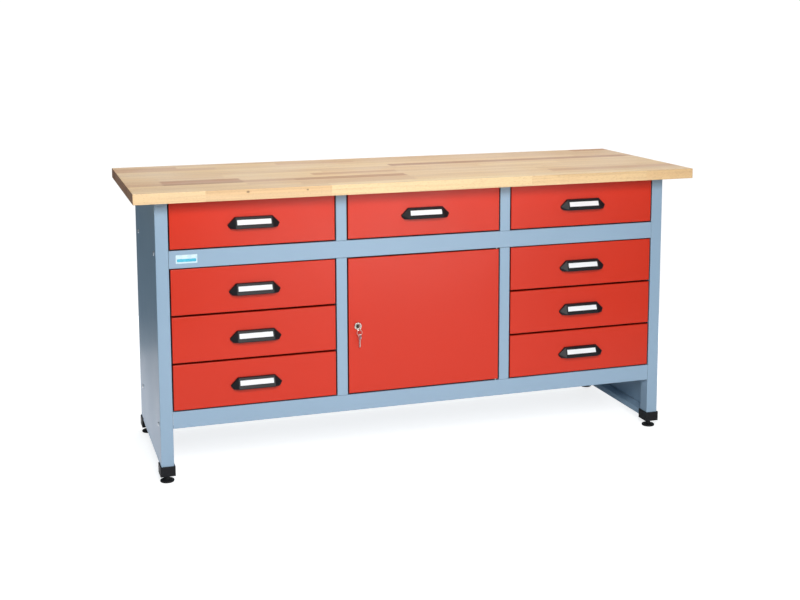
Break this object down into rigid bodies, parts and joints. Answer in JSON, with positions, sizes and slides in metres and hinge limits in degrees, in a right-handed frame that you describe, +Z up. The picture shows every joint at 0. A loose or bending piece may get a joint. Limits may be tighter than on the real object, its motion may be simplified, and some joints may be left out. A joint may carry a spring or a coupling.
{
  "type": "workbench with drawers",
  "caption": "Sheet-steel workbench with a wooden top, sliding drawers in three bays, a lockable cupboard in the middle and levelling feet.",
  "frame": {"origin": "on the floor, under the middle of the worktop", "axes": "+X along the bench to the user's right, +Y from the front to the back, +Z up"},
  "size_m": [1.7, 0.6, 0.84],
  "materials": {
    "beech": "oiled, satin, edge-glued and finger-jointed",
    "frame_paint": "light blue-grey powder coat, satin",
    "red_paint": "red powder coat, satin",
    "zinc_steel": "zinc-coated sheet, dull",
    "black_plastic": "fine-grained moulded plastic",
    "black_rubber": "hard rubber, matt",
    "nickel": "bright nickel plate"
  },
  "bodies": {
    "frame": {"worktop": "beech", "side_left": "frame_paint", "side_right": "frame_paint", "guide_wall_left": "frame_paint", "guide_wall_right": "frame_paint", "partition_left": "frame_paint", "partition_right": "frame_paint", "front_mid_rail": "frame_paint", "front_bottom_rail": "frame_paint", "rear_top_rail": "frame_paint", "back_panel": "frame_paint", "bottom_panel": "frame_paint", "cupboard_shelf": "zinc_steel", "hinge_pin_top": "nickel", "hinge_pin_bottom": "nickel", "foot_cap_front_left": "black_plastic", "foot_cap_front_right": "black_plastic", "foot_cap_back_left": "black_plastic", "foot_cap_back_right": "black_plastic"},
    "drawer_left_1": {"front_left_1": "red_paint", "tray_left_1": "zinc_steel", "handle_left_1": "black_plastic"},
    "drawer_left_2": {"front_left_2": "red_paint", "tray_left_2": "zinc_steel", "handle_left_2": "black_plastic"},
    "drawer_left_3": {"front_left_3": "red_paint", "tray_left_3": "zinc_steel", "handle_left_3": "black_plastic"},
    "drawer_left_4": {"front_left_4": "red_paint", "tray_left_4": "zinc_steel", "handle_left_4": "black_plastic"},
    "drawer_centre": {"front_centre": "red_paint", "tray_centre": "zinc_steel", "handle_centre": "black_plastic"},
    "drawer_right_1": {"front_right_1": "red_paint", "tray_right_1": "zinc_steel", "handle_right_1": "black_plastic"},
    "drawer_right_2": {"front_right_2": "red_paint", "tray_right_2": "zinc_steel", "handle_right_2": "black_plastic"},
    "drawer_right_3": {"front_right_3": "red_paint", "tray_right_3": "zinc_steel", "handle_right_3": "black_plastic"},
    "drawer_right_4": {"front_right_4": "red_paint", "tray_right_4": "zinc_steel", "handle_right_4": "black_plastic"},
    "door": {"door_panel": "red_paint", "lock_housing": "nickel", "lock_nut": "nickel"},
    "lock_core": {"lock_plug": "nickel", "lock_cam": "nickel", "key": "nickel"},
    "hanging_keys": {"key_ring": "nickel", "spare_key": "nickel"},
    "foot_front_left": {"glide_front_left": "black_rubber"},
    "foot_front_right": {"glide_front_right": "black_rubber"},
    "foot_back_left": {"glide_back_left": "black_rubber"},
    "foot_back_right": {"glide_back_right": "black_rubber"}
  },
  "joints": [
    {"name": "slide_left_1", "type": "slide", "parent": "frame", "child": "drawer_left_1", "axis": [0, -1, 0], "range_m": [0, 0.35]},
    {"name": "slide_left_2", "type": "slide", "parent": "frame", "child": "drawer_left_2", "axis": [0, -1, 0], "range_m": [0, 0.35]},
    {"name": "slide_left_3", "type": "slide", "parent": "frame", "child": "drawer_left_3", "axis": [0, -1, 0], "range_m": [0, 0.35]},
    {"name": "slide_left_4", "type": "slide", "parent": "frame", "child": "drawer_left_4", "axis": [0, -1, 0], "range_m": [0, 0.35]},
    {"name": "slide_centre", "type": "slide", "parent": "frame", "child": "drawer_centre", "axis": [0, -1, 0], "range_m": [0, 0.35]},
    {"name": "slide_right_1", "type": "slide", "parent": "frame", "child": "drawer_right_1", "axis": [0, -1, 0], "range_m": [0, 0.35]},
    {"name": "slide_right_2", "type": "slide", "parent": "frame", "child": "drawer_right_2", "axis": [0, -1, 0], "range_m": [0, 0.35]},
    {"name": "slide_right_3", "type": "slide", "parent": "frame", "child": "drawer_right_3", "axis": [0, -1, 0], "range_m": [0, 0.35]},
    {"name": "slide_right_4", "type": "slide", "parent": "frame", "child": "drawer_right_4", "axis": [0, -1, 0], "range_m": [0, 0.35]},
    {"name": "door_hinge", "type": "hinge", "parent": "frame", "child": "door", "pos_m": [0.2295, -0.224, 0.41], "axis": [0, 0, 1], "range_deg": [0, 90]},
    {"name": "lock_turn", "type": "hinge", "parent": "door", "child": "lock_core", "pos_m": [-0.2075, -0.2326, 0.411], "axis": [0, -1, 0], "range_deg": [0, 90]},
    {"name": "key_hang", "type": "hinge", "parent": "lock_core", "child": "hanging_keys", "pos_m": [-0.2075, -0.2466, 0.40125], "axis": [0, -1, 0], "range_deg": [-90, 90]},
    {"name": "level_front_left", "type": "slide", "parent": "frame", "child": "foot_front_left", "axis": [0, 0, -1], "range_m": [-0.004, 0.012]},
    {"name": "level_front_right", "type": "slide", "parent": "frame", "child": "foot_front_right", "axis": [0, 0, -1], "range_m": [-0.004, 0.012]},
    {"name": "level_back_left", "type": "slide", "parent": "frame", "child": "foot_back_left", "axis": [0, 0, -1], "range_m": [-0.004, 0.012]},
    {"name": "level_back_right", "type": "slide", "parent": "frame", "child": "foot_back_right", "axis": [0, 0, -1], "range_m": [-0.004, 0.012]}
  ],
  "couplings": [
    {"joint": "key_hang", "follows": "lock_turn", "ratio": -1}
  ]
}
